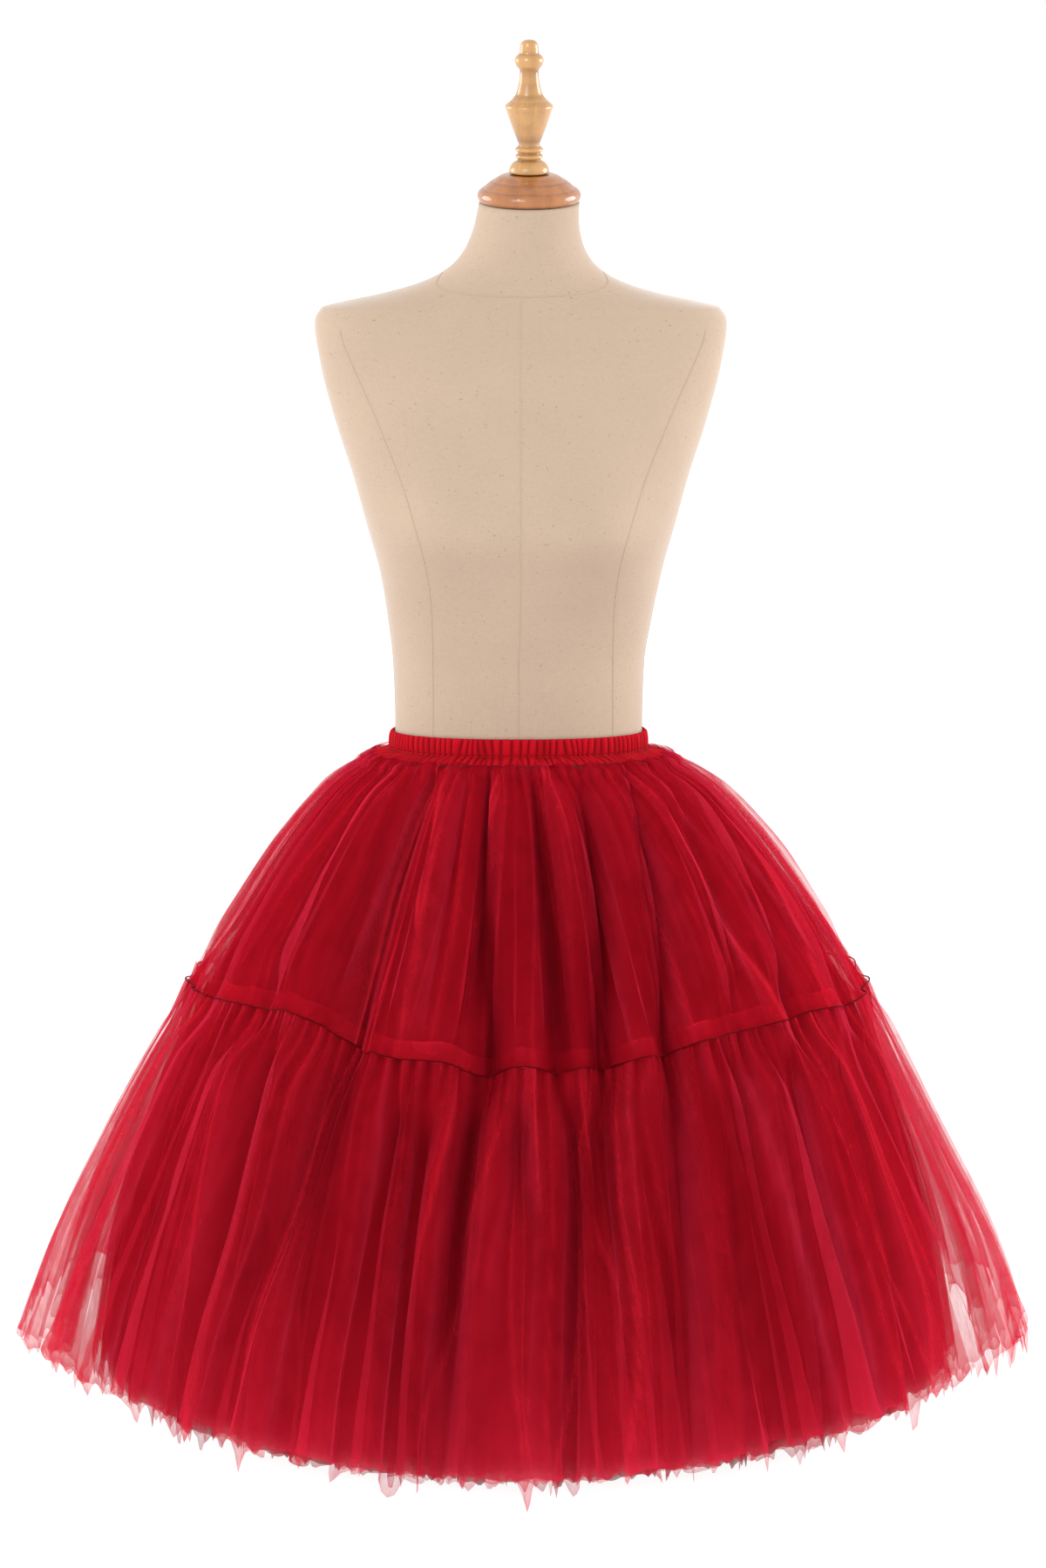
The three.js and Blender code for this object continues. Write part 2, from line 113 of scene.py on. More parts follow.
# Main folds, placed across the front: place at the top and at the bottom, as a share of the half width,
# width as a share of a turn, depth in millimetres (a trough is minus), and the share of the drop where it starts and
# where it ends
UPPER_FOLDS = [
    (-0.93, -0.94, 0.009, -9, 0.1, 1), (-0.87, -0.87, 0.007, 7, 0, 1), (-0.8, -0.79, 0.008, -12, 0.05, 1),
    (-0.72, -0.7, 0.01, 9, 0, 1), (-0.64, -0.6, 0.006, -9, 0, 1), (-0.52, -0.49, 0.009, -26, 0.05, 1),
    (-0.42, -0.38, 0.011, 9, 0, 1), (-0.33, -0.24, 0.005, -9, 0, 0.7), (-0.21, -0.11, 0.0065, -26, 0, 1),
    (-0.1, -0.01, 0.01, 9, 0, 1), (0.09, 0.085, 0.0075, -24, 0.05, 1), (0.2, 0.155, 0.008, 8, 0, 1),
    (0.36, 0.235, 0.0075, -26, 0.1, 1), (0.5, 0.32, 0.009, 9, 0, 1), (0.68, 0.4, 0.006, -20, 0, 1),
    (0.78, 0.5, 0.011, 8, 0, 1), (0.85, 0.6, 0.006, -8, 0.1, 1), (0.9, 0.7, 0.01, 8, 0, 1),
    (0.94, 0.78, 0.007, -12, 0.05, 1), (0.97, 0.87, 0.009, 7, 0, 1), (0.985, 0.94, 0.007, -9, 0.1, 1),
]
LOWER_FOLDS = [
    (-0.92, -0.9, 0.007, 9, 0, 1), (-0.86, -0.83, 0.007, -14, 0, 1), (-0.77, -0.73, 0.009, 10, 0, 1),
    (-0.7, -0.65, 0.007, -16, 0, 1), (-0.61, -0.57, 0.009, 10, 0, 1), (-0.52, -0.54, 0.01, -26, 0, 0.75),
    (-0.41, -0.46, 0.01, 10, 0, 1), (-0.33, -0.36, 0.006, -12, 0.1, 0.8), (-0.26, -0.24, 0.006, -18, 0.15, 1),
    (-0.19, -0.19, 0.008, 12, 0, 1), (-0.13, -0.15, 0.0065, -25, 0, 1), (-0.07, -0.08, 0.008, 12, 0, 1),
    (-0.01, 0.0, 0.0055, -18, 0, 0.55), (0.06, 0.045, 0.01, 10, 0, 1), (0.13, 0.1, 0.0055, -20, 0.05, 1),
    (0.2, 0.17, 0.011, -22, 0.05, 0.65), (0.255, 0.22, 0.006, -22, 0, 0.3), (0.33, 0.26, 0.007, 12, 0, 0.7),
    (0.4, 0.34, 0.0065, -18, 0, 1), (0.48, 0.43, 0.01, 10, 0, 1), (0.57, 0.52, 0.007, -16, 0, 1),
    (0.65, 0.6, 0.009, 10, 0, 1), (0.74, 0.68, 0.0075, -18, 0.05, 1), (0.83, 0.82, 0.009, 12, 0, 1),
    (0.9, 0.9, 0.007, -14, 0, 1),
]


def smoothstep(value, low=0.0, high=1.0):
    share = np.clip((np.asarray(value, float) - low) / (high - low), 0, 1)
    return share * share * (3 - 2 * share)


def lerp(first, second, share):
    return first + (second - first) * share


def smooth_table(places, rows, wanted):
    """Reads the rows of a table at any place between them, on smooth curves that don't overshoot."""
    places, rows, wanted = np.asarray(places, float), np.asarray(rows, float), np.asarray(wanted, float)
    gaps = np.diff(places)[:, None]
    slopes = np.diff(rows, axis=0) / gaps
    before, after = slopes[:-1], slopes[1:]
    product = before * after
    middle = np.where(product > 0, 2 * product / np.where(product > 0, before + after, 1), 0)
    tangents = np.vstack([slopes[:1], middle, slopes[-1:]])
    index = np.clip(np.searchsorted(places, wanted, side="right") - 1, 0, len(places) - 2)
    part = np.clip((wanted - places[index]) / gaps[index, 0], 0, 1)[:, None]
    gap, start, end = gaps[index], rows[index], rows[index + 1]
    square, cube = part**2, part**3
    return (
        start * (2 * cube - 3 * square + 1) + gap * tangents[index] * (cube - 2 * square + part)
        + end * (3 * square - 2 * cube) + gap * tangents[index + 1] * (cube - square)
    )


def on_section(half_width, half_depth, power, turn, aside=0.0, centre=0.0):
    """Points on level superellipses. turn runs from 0 at the left side (-X) by the front to 1."""
    angle = TURN * turn - math.pi / 2
    across, deep = np.sin(angle), -np.cos(angle)
    stretch = (np.abs(across) ** power + np.abs(deep) ** power) ** (-1 / power)
    return half_width * across * stretch + aside, half_depth * deep * stretch + centre


def torso_at(height):
    table = np.array(TORSO_SECTIONS)
    return smooth_table(table[:, 0], table[:, 1:], np.atleast_1d(height))


def torso_points(turn, height, out=0.0):
    """Points that stand out from the dress form by a distance, for turns and heights of the same shape."""
    shape = np.broadcast(turn, height).shape
    turn, height = np.broadcast_to(turn, shape).ravel(), np.broadcast_to(height, shape).ravel()
    out = np.broadcast_to(out, shape).ravel()
    wide, deep, aside, centre, power = torso_at(height).T
    x, y = on_section(wide, deep, power, turn, aside, centre)
    z = height + math.tan(NECK_LEAN) * smoothstep(height, LEAN_START, NECK_TOP) * (y - centre)
    cup = np.exp(-(((np.abs(x + 2) - BUST["across"]) / BUST["spread"]) ** 2) - ((height - BUST["height"]) / 40) ** 2)
    rise = out + BUST["rise"] * cup * (y < centre) * smoothstep(centre - y, 30, 80)
    length = np.hypot(x - aside, y - centre)
    x, y = x + (x - aside) / length * rise, y + (y - centre) / length * rise
    return np.stack([x, y, z], axis=-1).reshape(*shape, 3)


def uneven(turn, seed, waves):
    """An uneven value round a ring, from about -1 to 1, that meets itself at the end."""
    parts = [np.sin(TURN * n * turn + seed * (n + 1.7)) / math.sqrt(n) for n in waves]
    return sum(parts) / sum(1 / math.sqrt(n) for n in waves) * 1.4


def frontness(turn):
    return np.sin(TURN * turn)


def mesh_object(name, points, faces, finish, marks=None):
    """A smooth mesh from points in millimetres and faces with four corners. marks are values at its points."""
    mesh = bpy.data.meshes.new(name)
    mesh.vertices.add(len(points))
    mesh.vertices.foreach_set("co", (np.asarray(points) * MM).astype(np.float32).ravel())
    faces = np.asarray(faces, np.int32)
    mesh.loops.add(faces.size)
    mesh.loops.foreach_set("vertex_index", faces.ravel())
    mesh.polygons.add(len(faces))
    mesh.polygons.foreach_set("loop_start", np.arange(0, faces.size, 4, dtype=np.int32))
    mesh.update(calc_edges=True)
    mesh.validate()
    mesh.polygons.foreach_set("use_smooth", np.ones(len(mesh.polygons), bool))
    for mark, values in (marks or {}).items():
        attribute = mesh.attributes.new(mark, "FLOAT", "POINT")
        attribute.data.foreach_set("value", np.clip(values, 0, 1).astype(np.float32).ravel())
    mesh.materials.append(finish)
    made = bpy.data.objects.new(name, mesh)
    bpy.context.scene.collection.objects.link(made)
    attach(made, "root")
    return made


def grid_faces(rows, columns, ring=True, first=0):
    """The faces of a grid of points. A ring joins its last column to its first."""
    row, column = np.meshgrid(np.arange(rows - 1), np.arange(columns if ring else columns - 1), indexing="ij")
    beside = (column + 1) % columns
    return first + np.stack(
        [row * columns + column, (row + 1) * columns + column, (row + 1) * columns + beside, row * columns + beside],
        axis=-1,
    ).reshape(-1, 4)


def ring_sheet(name, points, finish, marks=None):
    rows, columns = points.shape[:2]
    return mesh_object(name, points.reshape(-1, 3), grid_faces(rows, columns), finish, marks)


def tubes(name, lines, radius, finish, sides=6, ring=False):
    """Round threads or piping along lines of points, as one mesh."""
    points, faces, first = [], [], 0
    for line in lines:
        line = np.asarray(line, float)
        along = np.roll(line, -1, 0) - np.roll(line, 1, 0) if ring else np.gradient(line, axis=0)
        along /= np.linalg.norm(along, axis=1, keepdims=True)
        out = np.cross(along, [0, 0, 1.0])
        steep = np.linalg.norm(out, axis=1) < 0.2
        out[steep] = np.cross(along[steep], [1.0, 0, 0])
        out /= np.linalg.norm(out, axis=1, keepdims=True)
        up = np.cross(out, along)
        angle = TURN * np.arange(sides) / sides
        circle = np.cos(angle)[:, None, None] * out + np.sin(angle)[:, None, None] * up
        points.append((line + radius * circle).reshape(-1, 3))
        count = len(line)
        for side in range(sides):
            here, there = first + side * count, first + (side + 1) % sides * count
            index = np.arange(count if ring else count - 1)
            ahead = (index + 1) % count
            faces.append(np.stack([here + index, here + ahead, there + ahead, there + index], axis=-1))
        first += sides * count
    return mesh_object(name, np.vstack(points), np.vstack(faces), finish)


class Value:
    """An output socket of a finish, so that a sum over the surface reads as a sum."""

    def __init__(self, finish, socket):
        self.finish, self.socket = finish, socket

    def _with(self, operation, first, second):
        node = self.finish.node("ShaderNodeMath", {"operation": operation}, {0: first, 1: second})
        return Value(self.finish, node.outputs[0])

    def __add__(self, other):
        return self._with("ADD", self, other)

    def __radd__(self, other):
        return self._with("ADD", other, self)

    def __sub__(self, other):
        return self._with("SUBTRACT", self, other)

    def __rsub__(self, other):
        return self._with("SUBTRACT", other, self)

    def __mul__(self, other):
        return self._with("MULTIPLY", self, other)

    def __rmul__(self, other):
        return self._with("MULTIPLY", other, self)

    def __truediv__(self, other):
        return self._with("DIVIDE", self, other)

    def __pow__(self, other):
        return self._with("POWER", self, other)

    def clamped(self, low=0.0, high=1.0):
        return self._with("MINIMUM", self._with("MAXIMUM", self, low), high)

    def above(self, low, high):
        """0 below low and 1 above high, with an even slope between them."""
        return ((self - low) * (1 / (high - low))).clamped()


class Finish:
    """A material that is put together from nodes."""

    def __init__(self, name):
        self.material = bpy.data.materials.new(name)
        self.material.use_nodes = True
        self.tree = self.material.node_tree
        self.tree.nodes.clear()

    def node(self, kind, settings=None, sockets=None):
        made = self.tree.nodes.new(kind)
        for key, value in (settings or {}).items():
            setattr(made, key, value)
        for key, value in (sockets or {}).items():
            if isinstance(value, Value):
                value = value.socket
            if isinstance(value, bpy.types.NodeSocket):
                self.tree.links.new(value, made.inputs[key])
            else:
                made.inputs[key].default_value = value
        return made

    def place(self, stretch=(1, 1, 1)):
        """The surface's own coordinates in metres, stretched along each axis."""
        coordinates = self.node("ShaderNodeTexCoord").outputs["Object"]
        scaled = self.node("ShaderNodeVectorMath", {"operation": "MULTIPLY"}, {0: coordinates, 1: stretch})
        return scaled.outputs[0]

    def noise(self, scale, detail=2.0, stretch=(1, 1, 1), distortion=0.0):
        sockets = {"Vector": self.place(stretch), "Scale": scale, "Detail": detail, "Distortion": distortion}
        return Value(self, self.node("ShaderNodeTexNoise", {}, sockets).outputs["Fac"])

    def wave(self, scale, axis="X", distortion=0.0):
        settings = {"wave_type": "BANDS", "bands_direction": axis, "wave_profile": "SIN"}
        sockets = {"Vector": self.place(), "Scale": scale, "Distortion": distortion}
        return Value(self, self.node("ShaderNodeTexWave", settings, sockets).outputs["Fac"])

    def mark(self, name):
        return Value(self, self.node("ShaderNodeAttribute", {"attribute_name": name}).outputs["Fac"])

    def blend(self, first, second, share):
        sockets = {0: share, 6: first if not isinstance(first, tuple) else (*first, 1.0),
                   7: second if not isinstance(second, tuple) else (*second, 1.0)}
        return self.node("ShaderNodeMix", {"data_type": "RGBA"}, sockets).outputs[2]

    def bump(self, height, strength, distance=0.001):
        sockets = {"Height": height, "Strength": strength, "Distance": distance}
        return self.node("ShaderNodeBump", {}, sockets).outputs["Normal"]

    def surface(self, sockets):
        shader = self.node("ShaderNodeBsdfPrincipled", {}, sockets)
        self.node("ShaderNodeOutputMaterial", {}, {"Surface": shader.outputs["BSDF"]})
        return self.material


def net_finish(name, light, deep, density, mottle):
    """Soft nylon net that glows a little with the light behind it.

    It is denser where it is creased or lies double and painted lighter there as a highlight, denser at the raw hem, and
    painted darker as shade deep in a fold and over the middle of the front and back.
    """
    finish = Finish(name)
    crease, shade, panel, thin = (finish.mark(mark) for mark in ("crease", "shade", "panel", "thin"))
    # edge is a lighter copy of the lit net colour: a painted highlight on creases, crests and double panels
    edge = tuple(min(1.0, 1.3 * part + 0.008) for part in light)
    clouds = finish.noise(62, 1.0, (1, 1, 0.6)).above(0.36, 0.64)
    grain = finish.noise(250, 1.0, (1, 1, 0.4)).above(0.3, 0.7)
    # tone is mostly painted shade from the shade mark, with a little random grain; the painted crease highlights lift
    # it
    tone = (shade * 0.9 + grain * 0.1 - crease * 0.9).clamped()
    cover = density * (1.0 - mottle * 0.5 + mottle * (clouds * 0.55 + grain * 0.45)) + panel * 0.3
    cover = (cover + crease * 0.38 + thin * 0.2).clamped(0.0, 0.97)
    cloth = finish.node("ShaderNodeBsdfPrincipled", {}, {
        "Base Color": finish.blend(finish.blend(light, deep, tone), edge, (crease * 0.8 + panel * 0.2).clamped()),
        "Roughness": 0.85,
        "Specular IOR Level": 0.0,
    })
    through = finish.node("ShaderNodeBsdfTranslucent", {}, {"Color": (*GLOW_COLOUR, 1.0)})
    woven = finish.node("ShaderNodeMixShader", {}, {0: GLOW_SHARE, 1: cloth.outputs[0], 2: through.outputs[0]})
    holes = finish.node("ShaderNodeBsdfTransparent")
    both = finish.node("ShaderNodeMixShader", {}, {0: cover, 1: holes.outputs[0], 2: woven.outputs[0]})
    finish.node("ShaderNodeOutputMaterial", {}, {"Surface": both.outputs[0]})
    return finish.material


def body_finish(name, light, deep, raw_hem=False):
    """The stacked inner nets, which look soft and streaked and let light through at a raw hem only."""
    finish = Finish(name)
    shade = finish.mark("shade")
    streaks = finish.noise(120, 3.0, (1, 1, 0.05)).above(0.3, 0.7)
    clouds = finish.noise(30, 3.0, (1, 1, 0.5)).above(0.3, 0.7)
    grain = finish.noise(420, 2.0).above(0.25, 0.75)
    # tone is painted shade from the shade mark in folds, gathers and the middle of the front and back, with random
    # streaks, clouds and grain
    tone = (shade + streaks * 0.2 + clouds * 0.14 + grain * 0.1 - 0.16).clamped()
    sockets = {
        "Base Color": finish.blend(light, deep, tone),
        "Roughness": 0.9,
        "Specular IOR Level": 0.0,
        "Normal": finish.bump(streaks, 0.25, 0.0008),
    }
    if raw_hem:
        sockets["Alpha"] = (1.0 - finish.mark("thin") * (0.1 + 0.3 * clouds)).clamped()
    return finish.surface(sockets)


def woven_finish(name, light, deep, thread=900):
    """Plain woven cloth, with painted shade in the valleys of its gathers."""
    finish = Finish(name)
    shade = finish.mark("shade")
    weave = finish.noise(thread, 1.0, (1, 1, 0.7))
    clouds = finish.noise(60, 2.0)
    # tone mixes painted shade from the shade mark with random weave and clouds
    tone = (shade * 0.85 + weave * 0.25 + clouds * 0.2 - 0.2).clamped()
    return finish.surface({
        "Base Color": finish.blend(light, deep, tone),
        "Roughness": 0.8,
        "Specular IOR Level": 0.05,
        "Normal": finish.bump(weave, 0.3, 0.0004),
    })


def linen_finish(name, light, deep, fleck):
    """Unbleached linen: a fine uneven weave with a few dark slubs."""
    finish = Finish(name)
    across = finish.noise(900, 1.0, (0.18, 0.18, 1))
    along = finish.noise(900, 1.0, (1, 1, 0.12))
    clouds = finish.noise(16, 3.0)
    slubs = finish.noise(230, 1.0, (0.45, 0.45, 1)).above(0.74, 0.8)
    specks = finish.noise(480, 0.0).above(0.77, 0.83)
    tone = (across * 0.45 + along * 0.45 + clouds * 0.5 - 0.35).clamped()
    cloth = finish.blend(light, deep, tone)
    return finish.surface({
        "Base Color": finish.blend(cloth, fleck, (slubs * 0.22 + specks * 0.4).clamped()),
        "Roughness": 0.9,
        "Specular IOR Level": 0.15,
        "Sheen Weight": 0.5,
        "Sheen Roughness": 0.35,
        "Normal": finish.bump(across + along, 0.22, 0.0005),
    })


def wood_finish(name, light, deep, gloss=0.9):
    """Varnished turned wood, with the grain along its length and painted shade in its grooves."""
    finish = Finish(name)
    grain = finish.noise(60, 4.0, (1, 1, 0.16), 1.2)
    pores = finish.noise(420, 2.0, (1, 1, 0.06)).above(0.55, 0.7)
    rings = finish.wave(22, "X", 3.0)
    painted_groove_shade = finish.mark("shade")
    tone = (grain.above(0.35, 0.68) * 0.25 + rings * 0.12 + pores * 0.12 + painted_groove_shade * 1.1).clamped()
    return finish.surface({
        "Base Color": finish.blend(light, deep, tone),
        "Roughness": (0.42 + 0.18 * grain).clamped(),
        "Coat Weight": gloss,
        "Coat Roughness": 0.08,
        "Normal": finish.bump(grain + pores, 0.08, 0.0004),
    })


def metal_finish(name, tint):
    """Brushed steel with a few scuffs."""
    finish = Finish(name)
    brushed = finish.noise(300, 2.0, (1, 1, 0.1))
    scuffs = finish.noise(40, 4.0).above(0.55, 0.75)
    return finish.surface({
        "Base Color": finish.blend(tint, tuple(0.6 * part for part in tint), scuffs * 0.5),
        "Metallic": 0.95,
        "Roughness": (0.26 + 0.2 * brushed + 0.12 * scuffs).clamped(),
        "Normal": finish.bump(brushed, 0.08, 0.0003),
    })


def turn_at(place):
    """The turn on the front whose point lies at a share of the half width, from -1 at the left to 1."""
    return math.acos(-max(-0.999, min(0.999, place))) / TURN


def main_folds(folds, turn, drop, gathered=False):
    """How far the main folds push cloth out, how far aside, and how deep it lies in a trough."""
    out = np.zeros(np.broadcast(turn, drop).shape)
    aside, trough = out.copy(), out.copy()
    placed = [(turn_at(top), turn_at(foot), *rest) for top, foot, *rest in folds]
    placed += [(1 - turn_at(0.02 - 0.97 * top), 1 - turn_at(0.02 - 0.95 * foot), *rest) for top, foot, *rest in folds]
    for top, foot, width, depth, start, end in placed:
        middle = lerp(top, foot, drop**0.8) + 0.0016 * np.sin(5 * drop + 40 * top)
        apart = (turn - middle + 0.5) % 1 - 0.5
        spread = width * (0.75 + 0.35 * drop)
        fades = smoothstep(drop, start - 0.05, start + 0.14)
        if end < 1:
            fades = fades * (1 - smoothstep(drop, end - 0.35, end))
        bell = np.exp(-((apart / spread) ** 2)) * fades
        out = out + depth * bell * (0.3 + 0.7 * smoothstep(drop, 0, 0.55) if gathered else 1)
        if depth < 0:
            aside = aside - 0.55 * apart * np.exp(-((apart / (1.7 * spread)) ** 2)) * fades
            trough = np.maximum(trough, bell * min(1, -depth / 24))
    return out, aside, trough


def loose_folds(turn, drop, layer):
    """Small slanting folds of one layer, each with one sharp edge.

    Gives how far they stand out, their edge lines, and where the net lies double beside them.
    """
    dice = np.random.default_rng(int(layer.seed * 10) + 3)
    out = np.zeros(np.broadcast(turn, drop).shape)
    line, panel = out.copy(), out.copy()
    edge = 0.8 / turn.size
    for _ in range(layer.small):
        top, slant, width = dice.random(), dice.normal(0, 0.013), dice.uniform(0.003, 0.006) * layer.pleat
        depth, start = dice.uniform(-2.5, 4), dice.choice([-0.2, -0.2, -0.2, 0.1])
        end = dice.choice([0.5, 0.8, 1.3, 1.3])
        side, bright = dice.choice([-1, 1]), dice.uniform(0.1, 1) ** 1.5
        apart = side * ((turn - top - slant * drop - 0.004 * np.sin(3 * drop + 60 * top) + 0.5) % 1 - 0.5)
        place = apart / (width * (0.55 + 0.6 * drop))
        fades = smoothstep(drop, start, start + 0.16) * (1 - smoothstep(drop, end - 0.25, end))
        out += depth * np.where(place > 0, np.exp(-(place**2)), np.exp(-((3.5 * place) ** 2))) * fades
        line = np.maximum(line, 0.8 * bright * fades * np.exp(-((apart / edge) ** 2)))
        panel = np.maximum(panel, bright * fades * np.exp(-((place / 1.3) ** 2)) * smoothstep(apart, -edge, edge))
    return out, line, panel


def seam_lift(turn):
    """How far the tier seam is lifted at each turn. The back repeats the front's steps."""
    turns = np.array([place + side for side in (0, 0.5) for place, _ in SEAM_LIFTS] + [1.0])
    lifts = np.array([lift for _ in range(2) for _, lift in SEAM_LIFTS] + [SEAM_LIFTS[0][1]], float)
    steps = np.linspace(-0.004, 0.004, 5)
    return sum(np.interp((turn + step) % 1, turns, lifts) for step in steps) / len(steps)


def seam_out(turn):
    """How far the tier seam stands out from its mean ring at each turn."""
    folded, _, _ = main_folds(UPPER_FOLDS, turn, np.ones_like(turn))
    fine = 3.5 * np.cos(TURN * (28 * turn + 0.35 * uneven(turn, 1.2, (3, 5, 7))))
    return 0.75 * folded + fine - 0.5 * seam_lift(turn)


class Layer:
    """One ring of net in a tier.

    share places it between the dense body (0) and the sheer outside (1). folds is how many it has round, and depth how
    deep they are at the top and at the foot. curl rolls them over, follow is how closely it follows the main folds,
    small is how many small folds it has besides, and ragged is how uneven its raw hem is.
    """

    def __init__(self, name, share, folds, seed, depth, curl, follow, small, ragged=0.0):
        self.name, self.share, self.folds, self.seed = name, share, folds, seed
        self.depth, self.curl, self.follow, self.small = depth, curl, follow, small
        self.ragged = ragged
        self.pleat = 1.9 if ragged else 1.3


def hang(layer, dense, sheer, main, upper):
    """The points of a layer of net, with marks for its creases and their painted highlights, its double places, its
    painted shade in folds, gathers and the middle of the front and back, and its thin hem.
    """
    columns, rows = (UPPER_COLUMNS, UPPER_ROWS) if upper else (LOWER_COLUMNS, LOWER_ROWS)
    turn = np.arange(columns)[None, :] / columns
    drop = np.linspace(0, 1, rows)[:, None]
    even = np.linspace(0, 1, rows)
    inner = smooth_table(np.linspace(0, 1, len(dense)), dense, even)
    outer = smooth_table(np.linspace(0, 1, len(sheer)), sheer, even)
    near_seam = smoothstep(even, 0.75, 1) if upper else 1 - smoothstep(even, 0, 0.22)
    share = lerp(layer.share, max(layer.share, 0.85) if layer.share > 0 else 0, near_seam)[:, None]
    height, wide, deep, aside, power = (lerp(inner, outer, share).T)[:, :, None]

    seed = layer.seed
    phase = layer.folds * turn + 0.5 * uneven(turn, seed, (2, 3, 5)) + 0.3 * uneven(turn, seed + 4, (7, 11, 16))
    phase = phase + 0.28 * drop * uneven(turn, seed + 9, (4, 9, 13)) + 0.05 * np.sin(6 * drop + 9 * turn)
    wave = np.cos(TURN * phase)
    strength = np.clip(0.72 + 0.42 * uneven(turn, seed + 2, (4, 7, 12)), 0.15, 1.2)
    depth = lerp(layer.depth[0], layer.depth[1], drop) * strength
    curled = layer.curl * strength * np.sin(2 * TURN * phase) / (2 * TURN * layer.folds)

    out, beside, trough = main_folds(main, turn, drop, upper)
    small, line, panel = loose_folds(turn, drop, layer)
    loose = (1 - smoothstep(drop, 0.8, 1)) if upper else smoothstep(drop, 0, 0.2)
    held = smoothstep(drop, -0.01, 0.06) if upper else 1.0
    seam = seam_out(turn) * (1 if layer.share > 0 else 0.8)
    own = depth * wave + layer.follow * out + small
    pucker = layer.folds * (2 if upper else 3)
    gathers = np.cos(TURN * (pucker * turn + 0.5 * uneven(turn, seed + 6, (5, 9, 14))))
    pulled = np.exp(-drop / (0.22 if upper else 0.12))
    fine = (2.5 if upper else 2.6) * gathers * pulled
    offset = own * loose * held + seam * (1 - loose) + fine * (held if upper else 1)

    where = turn + (curled * (0.2 + 0.8 * drop) * (0.35 + 0.65 * loose) + layer.follow * beside) * held
    x, y = on_section(wide, deep, power, where, aside)
    length = np.hypot(x, y)
    front = frontness(where)
    lift = seam_lift(turn)
    if upper:
        over = 1 - smoothstep(drop, 0, 0.075)
        puff = np.exp(-(((drop - 0.04) / 0.035) ** 2))
        heads = 0.5 + 0.5 * uneven(turn, seed + 3, (13, 21, 34))
        offset = offset + 3.0 * puff * (0.4 + heads) - 3 * over
        rise = BAND_TILT * (1 - drop) * front - SEAM_SAG * drop * front**2 + lift * drop**2
        rise = rise + 0.45 * drop * offset * held + 1.6 * puff * (0.3 + 1.6 * heads) + (5.5 * heads - 0.8) * over
    else:
        quarter = 4 * np.abs(front) * (1 - np.abs(front))
        rise = -lerp(SEAM_SAG, HEM_SAG, drop) * front**2 + 0.45 * offset * lerp(1, 0.6, drop)
        rise = rise + lift * (1 - drop) ** 2 + QUARTER_LIFT * layer.share * drop**2 * quarter
        rise = rise - ragged_edge(turn, layer) * smoothstep(drop, 0.9, 1)
    x, y = x * (1 + offset / length), y * (1 + offset / length)
    z = np.maximum(height + rise, LOWEST_TIP)

    # painted highlight lines on the fold walls and crests, the edges of the loose folds and the gather ridges near the
    # top, where the net also lies denser
    patch = np.clip(0.5 + 0.7 * uneven(turn, seed + 5, (6, 10, 15)), 0, 1)
    walls = np.abs(np.sin(TURN * phase)) ** 60 * patch
    crests = np.clip(wave, 0, 1) ** 150 * np.clip(0.4 + 0.6 * uneven(turn, seed + 8, (5, 8, 17)), 0, 1)
    crease = (0.3 * walls + 0.35 * crests + line + 0.3 * pulled * np.clip(gathers, 0, 1) ** 6) * held
    # painted shade: dark in the main fold troughs, the small fold valleys and the gather valleys near the top, and over
    # the middle of the front and back, with the lit flanks left lighter
    flank = np.abs(np.cos(TURN * turn)) ** 3
    inside = (1 - flank) * (smoothstep(drop, 0.1, 0.6) if upper else 1 - 0.9 * smoothstep(drop, 0.6, 1))
    shade = trough * 0.62 + 0.2 * (1 - wave) / 2 * loose + 0.5 * inside + 0.5 * pulled * (1 - gathers) / 2
    thin = smoothstep(drop, 0.97, 1.0) if not upper else np.zeros_like(drop)
    marks = {"crease": crease, "shade": shade, "panel": panel * held, "thin": thin}
    return np.stack([x, y, z], axis=-1), {key: np.broadcast_to(value, x.shape) for key, value in marks.items()}


def ragged_edge(turn, layer):
    """How far the raw hem hangs down at each turn: uneven cutting, and pointed tips where the net was pulled."""
    broad, narrow = (uneven(turn, layer.seed, waves) for waves in ((23, 37, 54), (83, 121, 160)))
    edge = layer.ragged * (0.5 * broad + 0.4 * narrow)
    dice = np.random.default_rng(int(layer.seed * 100) + 7)
    for middle, tall, wide in zip(*(dice.random(HEM_POINTS) for _ in range(3))):
        apart = np.abs((turn - middle + 0.5) % 1 - 0.5)
        point = np.clip(1 - apart / (0.0008 + 0.0012 * wide), 0, 1)
        edge = edge + layer.ragged * (0.2 + 1.9 * tall**3) * point
    return edge


UPPER_LAYERS = [
    Layer("upper_tulle_dense", 0.0, 24, 2.3, (1.5, 3), 0.8, 0.75, 30),
    Layer("upper_tulle_middle", 0.3, 38, 5.1, (1.5, 3.5), 1.4, 0.85, 50),
    Layer("upper_tulle_inner_net", 0.68, 31, 0.7, (2, 5.5), 2.0, 0.8, 60),
    Layer("upper_tulle_outer_net", 1.0, 41, 3.9, (2, 5), 1.8, 0.75, 70),
]
LOWER_LAYERS = [
    Layer("lower_tulle_dense", 0.0, 32, 6.3, (2, 5), 0.9, 0.7, 40, 4),
    Layer("lower_tulle_middle", 0.12, 43, 2.9, (2, 6), 1.5, 0.8, 60, 8),
    Layer("lower_tulle_inner_net", 0.62, 37, 8.2, (3, 12), 2.1, 0.75, 70, 9),
    Layer("lower_tulle_outer_net", 1.0, 46, 4.4, (3, 10), 1.9, 0.7, 80, 9),
]


